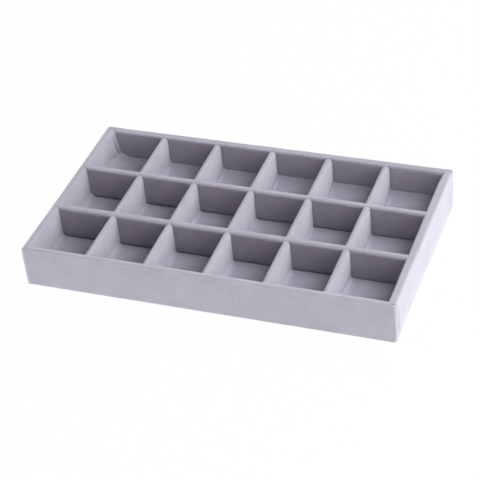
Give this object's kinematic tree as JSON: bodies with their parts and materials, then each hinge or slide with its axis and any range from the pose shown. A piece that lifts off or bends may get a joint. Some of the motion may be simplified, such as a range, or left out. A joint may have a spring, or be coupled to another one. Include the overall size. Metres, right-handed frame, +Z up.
{
  "type": "jewelry tray",
  "caption": "Low open tray covered in velvet, with a grid of upright dividers that make small open compartments for sorting and showing jewelry.",
  "frame": {"origin": "centre of the underside, on the surface that the tray stands on", "axes": "+X along the length, to the right seen from the front; -Y towards the front; +Z up"},
  "size_m": [0.35, 0.205, 0.04],
  "materials": {
    "velvet": "matte",
    "fibreboard": "matte",
    "divider_board": "matte",
    "foam": "matte",
    "card": "matte"
  },
  "bodies": {
    "root": {"base_board": "fibreboard", "front_wall_board": "fibreboard", "back_wall_board": "fibreboard", "left_wall_board": "fibreboard", "right_wall_board": "fibreboard", "long_divider_1_board": "divider_board", "long_divider_2_board": "divider_board", "cross_divider_1_board": "divider_board", "cross_divider_2_board": "divider_board", "cross_divider_3_board": "divider_board", "cross_divider_4_board": "divider_board", "cross_divider_5_board": "divider_board", "front_wall_velvet": "velvet", "back_wall_velvet": "velvet", "left_wall_velvet": "velvet", "right_wall_velvet": "velvet", "long_divider_1_velvet": "velvet", "long_divider_2_velvet": "velvet", "cross_divider_1_velvet": "velvet", "cross_divider_2_velvet": "velvet", "cross_divider_3_velvet": "velvet", "cross_divider_4_velvet": "velvet", "cross_divider_5_velvet": "velvet", "floor_velvet": "velvet", "floor_foam": "foam", "underside_card": "card"}
  },
  "joints": []
}
